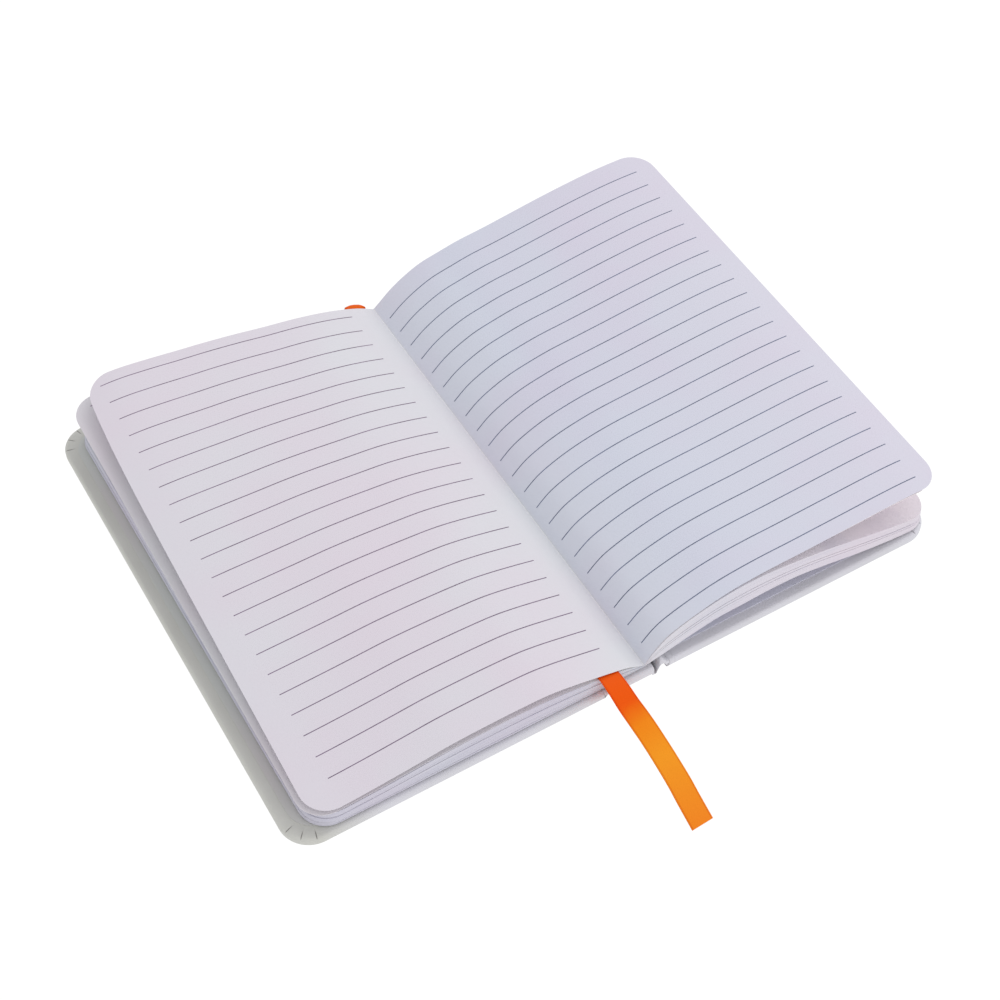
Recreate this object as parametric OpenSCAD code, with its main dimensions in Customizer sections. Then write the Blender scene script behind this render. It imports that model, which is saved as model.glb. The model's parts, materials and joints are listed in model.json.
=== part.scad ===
/* [Leaves] */
// Width of a leaf, measured flat across from the gutter to the fore edge
leaf_w = 89; // [75:0.5:100]
// Height of a leaf, tail to head
leaf_h = 138.5; // [110:0.5:180]
// Radius of the two fore corners of a leaf
leaf_r = 7; // [3:0.5:12]
// Thickness of the few leaves that lift off each stack together
lifted_t = 0.4; // [0.2:0.05:0.5]
// Thickness of the left stack at its fore edge
left_stack = 5; // [4:0.25:9]
// Thickness of the right stack at its fore edge
right_stack = 5.2; // [4:0.25:9]
// How far the right stack arches clear of the back cover
right_arch = 6.8; // [2:0.2:7.5]
// Rise of the top left leaf over the left stack's fore edge, at the tail
left_tail_lift = 0.5; // [0.45:0.05:2]
// Rise of the top left leaf over the left stack's fore edge, at the head
left_head_lift = 7.6; // [5:0.2:9]
// Rise of the top right leaf over the right stack's fore edge, at the tail
right_tail_lift = 10; // [8:0.25:12]
// Rise of the top right leaf over the right stack's fore edge, at the head
right_head_lift = 16.5; // [14:0.25:19]
// How far each stack's fore edge leans out from top to bottom
fore_bevel = 1.2; // [0.4:0.1:1.3]
// Distance of the gutter from the middle of the spine
gutter_x = 2.5; // [0:0.25:3.5]
// Height of the gutter fold above the endpapers
gutter_h = 1.6; // [1.4:0.1:2.4]
// Thickness of the block at the bottom of the gutter
fold_t = 1; // [0.6:0.1:1.2]
// Room between the leaves and the endpaper under them
leaf_gap = 0.2; // [0.1:0.05:0.5]

/* [Boards] */
// Width of a cover board
board_w = 83.5; // [70:0.5:100]
// Thickness of a cover board
board_t = 2; // [1.2:0.1:3]
// Square: how far a cover stands past the leaves at head and tail
square = 1.5; // [0.75:0.25:4]
// Radius of the two fore corners of a cover
cover_r = 8; // [4:0.5:12]
// Width of the spine strip
spine_w = 10; // [8:0.5:16]

/* [Wrap] */
// Thickness of the cover material
wrap_t = 0.4; // [0.25:0.05:0.6]
// Width of the turned-in margin at head, tail and fore edge
turn_in = 12; // [8:0.5:16]
// Radius that the wrapped edge rounds to
edge_r = 0.8; // [0.4:0.1:1.2]
// Width of a joint between spine strip and board
joint_w = 4; // [3.5:0.25:6]
// Rise of the groove that is pressed into the front joint
front_rise = 1.9; // [1:0.1:2]
// Rise of the groove in the back joint, which stands up in a curl
back_rise = 2.4; // [1:0.1:2.6]
// Clearance between the pieces at a hinge line
hinge_gap = 0.3; // [0.2:0.05:0.5]

/* [Papers] */
// Thickness of an endpaper leaf and of the spine lining
paper_t = 0.2; // [0.1:0.05:0.3]
// Margin of turned-in wrap left showing round an endpaper
paste_margin = 3; // [1.5:0.25:5]

/* [Ribbon] */
// Width of the ribbon marker
ribbon_w = 6; // [4:0.5:7]
// Thickness of the ribbon marker
ribbon_t = 0.25; // [0.2:0.05:0.35]

/* [Hidden] */

cover_h = leaf_h + 2 * square;
cover_t = board_t + 2 * wrap_t;
deck_z = cover_t + paper_t;
base_z = deck_z + leaf_gap;
hinge_x = spine_w / 2 + joint_w / 2;
board_x = spine_w / 2 + joint_w;
gut_z = deck_z + gutter_h;
left_rest = base_z + left_stack;
right_rest = base_z + right_stack;
head_y = leaf_h / 2;
over = 1;
// How far a sheet of the wrap runs on into the flat wrap that it is one with
lap = 0.5;
round_fn = 48;
arc_steps = 5;
corner_steps = 8;
curve_steps = 3;
bump_steps = 12;

// Stations along a leaf, from the gutter, 0, to the fore edge, 1
stations = [0, 0.02, 0.06, 0.11, 0.17, 0.24, 0.31, 0.4, 0.5, 0.6, 0.7, 0.8, 0.9, 1];
// Height of each surface over the gutter at those stations, as a share of its height at the fore edge
left_tail_leaf = [0, 0.24, 0.71, 1.07, 1.46, 1.9, 2.22, 2.32, 2.27, 2.1, 1.73, 1.37, 1.1, 1];
left_head_leaf = [0, 0.09, 0.25, 0.4, 0.545, 0.67, 0.76, 0.84, 0.93, 0.98, 1, 1.03, 1.05, 1];
left_stack_top = [0, 0.14, 0.53, 0.86, 1.08, 1.36, 1.58, 1.69, 1.69, 1.6, 1.42, 1.19, 1.06, 1];
right_tail_leaf = [0, 0.25, 0.56, 0.74, 0.885, 1.015, 1.08, 1.11, 1.1, 1.095, 1.085, 1.08, 1.06, 1];
right_head_leaf = [0, 0.08, 0.245, 0.4, 0.535, 0.62, 0.695, 0.755, 0.83, 0.9, 0.955, 0.995, 1.01, 1];
right_tail_top = [0, 0.7, 1.82, 2.5, 3.03, 3.47, 3.68, 3.63, 3.32, 2.92, 2.37, 1.82, 1.32, 1];
right_head_top = [0, 0.3, 1.16, 1.97, 2.66, 3.1, 3.37, 3.42, 3.26, 2.9, 2.37, 1.82, 1.32, 1];
// Height of the right stack's underside at those stations, as a share of its arch
right_under = [0.06, 0.13, 0.26, 0.46, 0.68, 0.88, 0.93, 1, 0.97, 0.75, 0.46, 0.22, 0.06, 0];
// Height of the left stack's underside at those stations, as a share of the room under the gutter fold
left_under = [1, 1, 0.7, 0, 0, 0, 0, 0, 0, 0, 0, 0, 0, 0];
// Drawn station at which the lifted leaves part from each stack
parts_at = 6;

// Ribbon route: middle of the ribbon and its tilt, from the glued end over the head edge to the tail
ribbon_path = [[-5, head_y - 9, 2.95, 0], [-5, head_y - 3, 2.95, 0], [-5, head_y + 0.5, 3, 0],
               [-5.1, head_y + 2.1, 4.4, -8], [-5.3, head_y + 2.3, 6.2, -14], [-5.7, head_y + 1, 7.6, -17],
               [-5.9, head_y - 3, 7.7, -17], [-5.9, head_y - 17, 7.7, -17], [-6, 38, 7.75, -17],
               [-6.1, 24, 7.8, -17], [-6.3, 10, 7.85, -16.5], [-6.5, -4, 7.9, -16], [-6.9, -18, 8, -15.5],
               [-7.3, -32, 8.1, -15], [-7.6, 23 - head_y, 8.2, -14.5], [-7.9, 11 - head_y, 8.25, -14],
               [-8.1, 3 - head_y, 8.25, -14], [-8.2, -head_y - 1, 8.15, -12],
               [-8.3, -head_y - 4.2, 7, -9], [-8.3, -head_y - 7.7, 5.1, -5],
               [-8.4, -head_y - 11.2, 3.2, -1], [-8.5, -head_y - 14.7, 1.6, 0],
               [-8.7, -head_y - 18.7, 0.7, 0], [-9.1, -head_y - 23.2, 0.25, 0],
               [-9.7, -head_y - 28.7, 0.15, 0], [-10.4, -head_y - 33.7, 0.15, 0],
               [-11.1, -head_y - 38.7, 0.15, 0]];

// Slope of the curve through a table of shares at station i
function slope(s, i) =
    i <= 0 ? (s[1] - s[0]) / (stations[1] - stations[0]) :
    i >= len(s) - 1 ? (s[i] - s[i - 1]) / (stations[i] - stations[i - 1]) :
    (s[i + 1] - s[i - 1]) / (stations[i + 1] - stations[i - 1]);
// Cubic between two stations d apart, at share q of the way
function hermite(a, b, ma, mb, d, q) =
    (2 * q * q * q - 3 * q * q + 1) * a + (q * q * q - 2 * q * q + q) * d * ma
    + (3 * q * q - 2 * q * q * q) * b + (q * q * q - q * q) * d * mb;
// Value of the curve through a table of shares at u
function share(s, u, i = 0) =
    i < len(s) - 2 && u > stations[i + 1] ? share(s, u, i + 1) :
    let (d = stations[i + 1] - stations[i])
    hermite(s[i], s[i + 1], slope(s, i), slope(s, i + 1), d, (u - stations[i]) / d);
// The places along a leaf at which its curves are drawn
drawn = concat([for (i = [0 : len(stations) - 2], k = [0 : curve_steps - 1])
    stations[i] + (stations[i + 1] - stations[i]) * k / curve_steps], [1]);
function backwards(v) = [for (i = [len(v) - 1 : -1 : 0]) v[i]];

// Columns of the block's section, from the left fore edge over the gutter to the right fore edge
last = len(drawn) - 1;
columns = [for (j = [0 : 2 * last]) j < last ? [-1, drawn[last - j]] : [1, drawn[j - last]]];
left_part = last - parts_at;
right_part = last + parts_at;
// Heights over the table, at column c = [side, share], of the tops that come to rest_z at the fore edge
function top_z(s, rest_z, c) = gut_z + (rest_z - gut_z) * share(s, c[1]);
function stack_z(c, right_top) = c[0] > 0 ? top_z(right_top, right_rest, c)
                                          : top_z(left_stack_top, left_rest, c);
function under_z(c) = c[0] > 0 ? base_z + right_arch * share(right_under, c[1])
                               : base_z + (gut_z - fold_t - base_z) * share(left_under, c[1]);
function column_x(c) = gutter_x + c[0] * leaf_w * c[1];
// The four points of a column at y: leaf top, leaf underside, stack top and stack underside
function column(c, parted, y, leaf, stack) = let (x = column_x(c), lean = c[1] < 1 ? 0 : c[0] * fore_bevel)
    [[x, y, leaf], [x, y, parted ? leaf - lifted_t : stack], [x, y, stack], [x + lean, y, under_z(c)]];

// Plate from x = 0 to w, rounded to r at its two far corners, with its outer edges rounded to e
module rounded_plate(w, h, t, r, e) {
    section = [[0, 0],
        for (k = [0 : arc_steps]) [r - e + e * sin(90 * k / arc_steps), e - e * cos(90 * k / arc_steps)],
        for (k = [0 : arc_steps]) [r - e + e * cos(90 * k / arc_steps), t - e + e * sin(90 * k / arc_steps)],
        [0, t]];
    translate([0, -(h / 2 - r), 0])
        cube([w - r, h - 2 * r, t]);
    translate([w - r, h / 2 - r, 0])
        rotate([90, 0, 0])
            linear_extrude(h - 2 * r)
                polygon(section);
    for (s = [-1, 1])
        translate([0, s * (h / 2 - r), 0])
            rotate([90, 0, s > 0 ? 90 : -90])
                translate([0, 0, s > 0 ? 0 : -(w - r)])
                    linear_extrude(w - r)
                        polygon(section);
    for (s = [-1, 1])
        translate([w - r, s * (h / 2 - r), 0])
            rotate([0, 0, s > 0 ? 0 : -90])
                rotate_extrude(angle = 90, $fn = round_fn)
                    polygon(section);
}

// Flat outline with two rounded far corners
module rounded_sheet(w, h, r) {
    translate([0, -h / 2])
        square([w - r, h]);
    translate([0, -(h / 2 - r)])
        square([w, h - 2 * r]);
    for (s = [-1, 1])
        translate([w - r, s * (h / 2 - r)])
            circle(r, $fn = round_fn);
}

// Cover material over a joint: a sheet that leaves the flat wrap at root_x and rises towards the hinge line
module joint_sheet(rise, root_x, tip_x, layers, h) {
    xs = [for (k = [0 : bump_steps]) root_x + (tip_x - root_x) * k / bump_steps];
    lapped = layers > 1 ? [] : [root_x + (root_x < tip_x ? -lap : lap)];
    function ridge(x) = rise * pow(cos(180 * (x - hinge_x) / joint_w), 2);
    rotate([90, 0, 0])
        linear_extrude(h, center = true)
            polygon(concat([for (x = lapped) [x, 0]],
                           [for (x = xs) [x, ridge(x)]],
                           [for (x = backwards(xs)) [x, ridge(x) + layers * wrap_t]],
                           [for (x = lapped) [x, wrap_t]]));
}

// A joint from the flat wrap to the hinge line, doubled where the head and the tail are turned in
module joint(rise, root_x, tip_x) {
    joint_sheet(rise, root_x, tip_x, 1, cover_h);
    for (s = [-1, 1])
        translate([0, s * (cover_h - turn_in) / 2, 0])
            joint_sheet(rise, root_x, tip_x, 2, turn_in);
}

module board_outline() {
    rounded_sheet(board_w, cover_h - 2 * wrap_t, cover_r - wrap_t);
}

// The side of the wrap on the right: round the board, turned in, and out to its hinge line
module wrap_side(rise) {
    difference() {
        translate([board_x, 0, 0])
            rounded_plate(board_w + wrap_t, cover_h, cover_t, cover_r, edge_r);
        translate([board_x - over, -(cover_h / 2 - wrap_t), wrap_t])
            cube([over, cover_h - 2 * wrap_t, board_t]);
        translate([board_x, 0, wrap_t])
            linear_extrude(board_t)
                board_outline();
        translate([board_x - over, -(cover_h / 2 - turn_in), wrap_t + board_t / 2])
            cube([board_w + wrap_t - turn_in + over, cover_h - 2 * turn_in, cover_t]);
    }
    joint(rise, board_x, hinge_x + hinge_gap / 2);
}

module board_side() {
    translate([board_x, 0, wrap_t])
        linear_extrude(board_t)
            board_outline();
}

// An endpaper leaf: it lies on the turned-in margin and dips to the bare board inside it
module pastedown_side() {
    in_w = board_w + wrap_t - turn_in;
    in_h = cover_h - 2 * turn_in;
    difference() {
        union() {
            translate([board_x, 0, cover_t])
                linear_extrude(paper_t)
                    rounded_sheet(board_w + wrap_t - paste_margin, cover_h - 2 * paste_margin, leaf_r);
            translate([board_x, -in_h / 2, wrap_t + board_t])
                cube([in_w, in_h, wrap_t + paper_t]);
        }
        translate([board_x - over, -in_h / 2 + paper_t, wrap_t + board_t + paper_t])
            cube([in_w - paper_t + over, in_h - 2 * paper_t, cover_t]);
    }
}

module front_board() {
    color([0.72, 0.68, 0.58])
        mirror([1, 0, 0])
            board_side();
}

module back_board() {
    color([0.72, 0.68, 0.58])
        board_side();
}

module spine_strip() {
    color([0.72, 0.68, 0.58])
        translate([-spine_w / 2, -(cover_h / 2 - wrap_t), wrap_t])
            cube([spine_w, cover_h - 2 * wrap_t, board_t]);
}

module front_wrap() {
    color([0.9, 0.9, 0.91])
        mirror([1, 0, 0])
            wrap_side(front_rise);
}

module back_wrap() {
    color([0.9, 0.9, 0.91])
        wrap_side(back_rise);
}

// The wrap round the spine strip, turned in at head and tail, with the near half of each joint
module spine_wrap() {
    end_x = hinge_x - hinge_gap / 2;
    color([0.9, 0.9, 0.91]) {
        translate([-spine_w / 2, -cover_h / 2, 0])
            cube([spine_w, cover_h, wrap_t]);
        for (s = [-1, 1]) {
            translate([-spine_w / 2, s * (cover_h - wrap_t) / 2 - wrap_t / 2, 0])
                cube([spine_w, wrap_t, cover_t]);
            translate([-spine_w / 2, s * (cover_h - turn_in) / 2 - turn_in / 2, wrap_t + board_t])
                cube([spine_w, turn_in, wrap_t]);
        }
        joint(back_rise, spine_w / 2, end_x);
        mirror([1, 0, 0])
            joint(front_rise, spine_w / 2, end_x);
    }
}

module front_pastedown() {
    color([0.82, 0.85, 0.9])
        mirror([1, 0, 0])
            pastedown_side();
}

module back_pastedown() {
    color([0.82, 0.85, 0.9])
        pastedown_side();
}

module spine_lining() {
    color([0.86, 0.86, 0.84])
        translate([-spine_w / 2, -(cover_h / 2 - turn_in), wrap_t + board_t])
            cube([spine_w, cover_h - 2 * turn_in, paper_t]);
}

// One end of the block, as four points a column
function block_end(y, left_leaf, left_lift, right_leaf, right_lift, right_top) =
    [for (j = [0 : 2 * last], p = let (c = columns[j]) column(c, j <= left_part || j >= right_part, y,
        c[0] > 0 ? top_z(right_leaf, right_rest + right_lift, c) : top_z(left_leaf, left_rest + left_lift, c),
        stack_z(c, right_top))) p];

// All the leaves: two stacks with the leaves that lift off them, joined at the gutter
module leaves() {
    n = 4 * (2 * last + 1);
    // Number of point k of column j, at the tail
    function at(j, k) = 4 * j + k;
    function parted(j) = j < left_part || j >= right_part;
    // Faces between two lines of points that run from the tail to the head
    function up(a, b) = [[a, a + n, b + n], [a, b + n, b]];
    function down(a, b) = [[a, b + n, a + n], [a, b, b + n]];
    function ends(v) = [v, [for (i = [len(v) - 1 : -1 : 0]) v[i] + n]];
    polyhedron(
        points = concat(
            block_end(-head_y, left_tail_leaf, left_tail_lift, right_tail_leaf, right_tail_lift, right_tail_top),
            block_end(head_y, left_head_leaf, left_head_lift, right_head_leaf, right_head_lift, right_head_top)),
        faces = concat(
            [for (j = [0 : 2 * last - 1], f = up(at(j, 0), at(j + 1, 0))) f],
            [for (j = [0 : 2 * last - 1], f = down(at(j, 3), at(j + 1, 3))) f],
            [for (j = [0 : 2 * last - 1]) if (parted(j)) for (f = down(at(j, 1), at(j + 1, 1))) f],
            [for (j = [0 : 2 * last - 1]) if (parted(j)) for (f = up(at(j, 2), at(j + 1, 2))) f],
            up(at(0, 1), at(0, 0)), up(at(0, 3), at(0, 2)),
            up(at(2 * last, 0), at(2 * last, 1)), up(at(2 * last, 2), at(2 * last, 3)),
            up(at(left_part, 2), at(left_part, 1)), up(at(right_part, 1), at(right_part, 2)),
            [for (j = [0 : 2 * last - 1]) if (parted(j))
                for (k = [0, 2], f = ends([at(j, k), at(j + 1, k), at(j + 1, k + 1), at(j, k + 1)])) f],
            [for (j = [0 : 2 * last - 1]) if (!parted(j))
                for (f = ends(concat([at(j, 0), at(j + 1, 0)],
                                     j + 1 == right_part ? [at(j + 1, 1), at(j + 1, 2)] : [],
                                     [at(j + 1, 3), at(j, 3)],
                                     j == left_part ? [at(j, 2), at(j, 1)] : []))) f]));
}

// What is cut off the leaves at one corner: side is 1 on the right, end is 1 at the head
module corner_cut(side, end) {
    cx = leaf_w + fore_bevel - leaf_r;
    cy = head_y - leaf_r;
    corner = concat(
        [for (k = [0 : corner_steps], a = 90 * k / corner_steps) [cx + leaf_r * cos(a), cy + leaf_r * sin(a)]],
        [[cx, cy + leaf_r + over], [cx + leaf_r + over, cy + leaf_r + over], [cx + leaf_r + over, cy]]);
    linear_extrude(right_rest + right_head_lift + over)
        polygon([for (p = corner) [gutter_x + side * p[0], end * p[1]]]);
}

module text_block() {
    color([0.93, 0.93, 0.94])
        difference() {
            leaves();
            for (side = [-1, 1], end = [-1, 1])
                corner_cut(side, end);
        }
}

// Flat strip swept along the ribbon's route, turned to the tilt given with each point
module ribbon() {
    p = ribbon_path;
    n = len(p);
    function run(i) = let (a = p[max(i - 1, 0)], b = p[min(i + 1, n - 1)]) [0, b[1] - a[1], b[2] - a[2]];
    function normal(i) = let (d = run(i), l = norm(d)) [0, -d[2] / l, d[1] / l];
    function ring(i) = let (c = [p[i][0], p[i][1], p[i][2]], m = normal(i), up = m * ribbon_t / 2,
                            side = [cos(p[i][3]), 0, sin(p[i][3])] * ribbon_w / 2)
        [c - side - up, c + side - up, c + side + up, c - side + up];
    color([0.95, 0.45, 0.08])
        polyhedron(
            points = [for (i = [0 : n - 1], q = ring(i)) q],
            faces = concat(
                [[0, 1, 2, 3]],
                [[4 * n - 1, 4 * n - 2, 4 * n - 3, 4 * n - 4]],
                [for (i = [0 : n - 2], k = [0 : 3], half = [0, 1])
                    let (a = 4 * i + k, b = 4 * i + (k + 1) % 4)
                    half == 0 ? [a, a + 4, b] : [b, a + 4, b + 4]]));
}

front_board();
back_board();
spine_strip();
front_wrap();
spine_wrap();
back_wrap();
front_pastedown();
back_pastedown();
spine_lining();
text_block();
ribbon();
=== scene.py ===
"""Look of an open pocket notebook: white wrapped cover, lined leaves and an orange ribbon marker.

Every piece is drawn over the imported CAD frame. Sizes are written in millimetres, as the CAD has
them, and turned into metres as each mesh is made. X runs to the right page, Y to the head and Z up.
"""

import json
import logging
from dataclasses import dataclass, field
from enum import Enum
from functools import partial
from typing import Callable, Sequence

import bpy
import numpy as np
from bpy.types import Material, Node, NodeSocket, Object
from mathutils import Matrix, Vector

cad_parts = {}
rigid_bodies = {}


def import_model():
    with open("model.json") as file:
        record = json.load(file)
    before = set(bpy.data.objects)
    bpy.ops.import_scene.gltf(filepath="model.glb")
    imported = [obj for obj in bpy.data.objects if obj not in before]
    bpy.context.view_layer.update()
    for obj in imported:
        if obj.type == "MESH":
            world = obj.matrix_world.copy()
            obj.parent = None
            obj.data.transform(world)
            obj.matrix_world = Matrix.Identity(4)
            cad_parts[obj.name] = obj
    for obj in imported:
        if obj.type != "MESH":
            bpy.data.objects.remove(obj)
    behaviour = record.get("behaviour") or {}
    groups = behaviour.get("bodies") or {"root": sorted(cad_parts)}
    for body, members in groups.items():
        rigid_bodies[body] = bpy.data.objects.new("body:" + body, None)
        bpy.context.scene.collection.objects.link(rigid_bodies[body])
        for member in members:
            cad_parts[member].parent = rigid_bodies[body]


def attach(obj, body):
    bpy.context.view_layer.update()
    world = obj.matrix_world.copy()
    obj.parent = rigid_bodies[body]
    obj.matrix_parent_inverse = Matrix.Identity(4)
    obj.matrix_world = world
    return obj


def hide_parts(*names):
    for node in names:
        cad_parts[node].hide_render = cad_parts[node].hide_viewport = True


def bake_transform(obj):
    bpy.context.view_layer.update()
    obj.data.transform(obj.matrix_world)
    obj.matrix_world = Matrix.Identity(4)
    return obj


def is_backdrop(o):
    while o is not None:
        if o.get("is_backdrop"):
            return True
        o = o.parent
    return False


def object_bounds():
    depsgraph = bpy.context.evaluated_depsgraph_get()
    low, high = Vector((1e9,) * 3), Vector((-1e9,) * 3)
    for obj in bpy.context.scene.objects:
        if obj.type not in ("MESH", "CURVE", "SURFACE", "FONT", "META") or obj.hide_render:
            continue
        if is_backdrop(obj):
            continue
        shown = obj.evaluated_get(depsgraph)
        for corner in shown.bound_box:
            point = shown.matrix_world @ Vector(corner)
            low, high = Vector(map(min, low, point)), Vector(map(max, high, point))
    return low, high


LOG = logging.getLogger("notebook")
MM = 0.001
SEED = 11
STACK_DEPTH = 5.0

Array = np.ndarray
Triple = tuple[float, float, float]
Colour = Triple
Face = Callable[[Array, Array], Array]
WHITE: Colour = (1.0, 1.0, 1.0)


class Side(Enum):
    """A half of the open book; the value is the sign of its X."""

    LEFT = -1
    RIGHT = 1


class Layer(Enum):
    """A sheet or face of a stack that a height can be asked of."""

    TOP_LEAF = "top leaf"
    NEXT_LEAF = "next leaf"
    STACK = "stack"
    UNDERSIDE = "underside"


@dataclass(frozen=True)
class Sizes:
    """Sizes that the CAD has, in millimetres."""

    leaf_w: float = 89.0
    leaf_h: float = 138.5
    leaf_r: float = 7.0
    gutter_x: float = 2.5
    gutter_z: float = 4.6
    base_z: float = 3.2
    bevel: float = 1.2
    cover_h: float = 141.5
    cover_t: float = 2.8
    cover_r: float = 8.0
    cover_x: float = 92.9
    board_x: float = 9.0
    spine_half: float = 5.0
    tail_shift: float = 0.4


@dataclass(frozen=True)
class Half:
    """How the leaves of one half lie, in millimetres.

    rest is the stack's height at the fore edge, tail and head are the top leaf's rise over it there,
    and arch is the rise of the stack's underside. The loose values say how far the drawn top leaf
    parts from the CAD's solid. stack names the stack's curves.
    """

    rest: float
    tail: float
    head: float
    arch: float
    loose_tail: float
    loose_head: float
    loose_middle: float
    stack: tuple[str, str]


@dataclass(frozen=True)
class NextLeaf:
    """How the second leaf lies: the left one near its stack, the right one under the top leaf."""

    left_gap: float = 0.06
    left_start: float = 0.2
    left_tail: float = 0.4
    left_head: float = 6.2
    left_power: float = 1.3
    right_gap: float = 0.15
    right_drop: float = 0.8


S = Sizes()
NEXT = NextLeaf()
HALVES: dict[Side, Half] = {
    Side.LEFT: Half(8.2, 0.5, 7.6, 0.4, 1.5, 4.6, -1.0, ("left_stack", "left_stack")),
    Side.RIGHT: Half(8.4, 10.0, 16.5, 6.8, 2.6, 0.0, -0.6, ("right_tail_stack", "right_head_stack")),
}
STATIONS = np.array([0, 0.02, 0.06, 0.11, 0.17, 0.24, 0.31, 0.4, 0.5, 0.6, 0.7, 0.8, 0.9, 1])
SHAPES: dict[str, Array] = {
    name: np.array(values)
    for name, values in {
        "left_tail_leaf": (0, 0.24, 0.71, 1.07, 1.46, 1.9, 2.22, 2.32, 2.27, 2.1, 1.73, 1.37, 1.1, 1),
        "left_head_leaf": (0, 0.09, 0.25, 0.4, 0.545, 0.67, 0.76, 0.84, 0.93, 0.98, 1, 1.03, 1.05, 1),
        "left_stack": (0, 0.14, 0.53, 0.86, 1.08, 1.36, 1.58, 1.69, 1.69, 1.6, 1.42, 1.19, 1.06, 1),
        "right_tail_leaf": (0, 0.25, 0.56, 0.74, 0.885, 1.015, 1.08, 1.11, 1.1, 1.095, 1.085, 1.08, 1.06, 1),
        "right_head_leaf": (0, 0.08, 0.245, 0.4, 0.535, 0.62, 0.695, 0.755, 0.83, 0.9, 0.955, 0.995, 1.01, 1),
        "right_tail_stack": (0, 0.7, 1.82, 2.5, 3.03, 3.47, 3.68, 3.63, 3.32, 2.92, 2.37, 1.82, 1.32, 1),
        "right_head_stack": (0, 0.3, 1.16, 1.97, 2.66, 3.1, 3.37, 3.42, 3.26, 2.9, 2.37, 1.82, 1.32, 1),
        "right_under": (0.06, 0.13, 0.26, 0.46, 0.68, 0.88, 0.93, 1, 0.97, 0.75, 0.46, 0.22, 0.06, 0),
        "left_under": (1, 1, 0.7, 0, 0, 0, 0, 0, 0, 0, 0, 0, 0, 0),
    }.items()
}


def shape(name: str, u: Array) -> Array:
    """Read a curve of the CAD's block.

    Args:
        name: Key in SHAPES.
        u: Places along a leaf, from 0 at the gutter to 1 at the fore edge.

    Returns:
        The curve's value at each place.
    """
    s, x = SHAPES[name], STATIONS
    slopes = np.empty_like(s, dtype=float)
    slopes[1:-1] = (s[2:] - s[:-2]) / (x[2:] - x[:-2])
    slopes[0], slopes[-1] = (s[1] - s[0]) / (x[1] - x[0]), (s[-1] - s[-2]) / (x[-1] - x[-2])
    i = np.clip(np.searchsorted(x, u, side="left") - 1, 0, len(x) - 2)
    d = x[i + 1] - x[i]
    q = (u - x[i]) / d
    return (
        (2 * q**3 - 3 * q**2 + 1) * s[i]
        + (q**3 - 2 * q**2 + q) * d * slopes[i]
        + (3 * q**2 - 2 * q**3) * s[i + 1]
        + (q**3 - q**2) * d * slopes[i + 1]
    )


def ease(t: Array) -> Array:
    """Rise from 0 to 1 with level ends.

    Args:
        t: Places from 0 to 1.

    Returns:
        The rise at each place.
    """
    return t * t * (3 - 2 * t)


def height(side: Side, layer: Layer, u: Array, y: Array) -> Array:
    """Height over the table of a face of the leaf block.

    Args:
        side: Half of the book.
        layer: Face that is asked for.
        u: Places along the leaf, 0 at the gutter.
        y: Places towards the head, in millimetres.

    Returns:
        Heights in millimetres.
    """
    half, word = HALVES[side], side.name.lower()
    head = (np.asarray(y) + S.leaf_h / 2) / S.leaf_h

    def between(curves: tuple[str, str], rise_tail: float, rise_head: float) -> Array:
        """Height between a curve at the tail and one at the head."""
        low = S.gutter_z + (half.rest + rise_tail - S.gutter_z) * shape(curves[0], u)
        high = S.gutter_z + (half.rest + rise_head - S.gutter_z) * shape(curves[1], u)
        return low + (high - low) * head

    if layer is Layer.UNDERSIDE:
        return S.base_z + half.arch * shape(f"{word}_under", u)
    stack = between(half.stack, 0.0, 0.0)
    if layer is Layer.STACK:
        return stack
    if layer is Layer.NEXT_LEAF and side is Side.LEFT:
        far = np.clip((u - NEXT.left_start) / (1 - NEXT.left_start), 0, 1)
        rise = NEXT.left_tail + NEXT.left_head * np.clip(head, 0, 1) ** NEXT.left_power
        return stack + NEXT.left_gap + rise * ease(far)
    leaf = between((f"{word}_tail_leaf", f"{word}_head_leaf"), half.tail, half.head)
    leaf = leaf + (half.loose_tail + (half.loose_head - half.loose_tail) * head) * ease(u)
    leaf = leaf + half.loose_middle * np.sin(np.pi * np.clip(u, 0, 1)) ** 2
    if layer is Layer.TOP_LEAF:
        return leaf
    return leaf - NEXT.right_gap - NEXT.right_drop * np.clip(u, 0, 1) ** 2 * np.clip(1.3 - head, 0.3, 1)


# ---- materials


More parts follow.
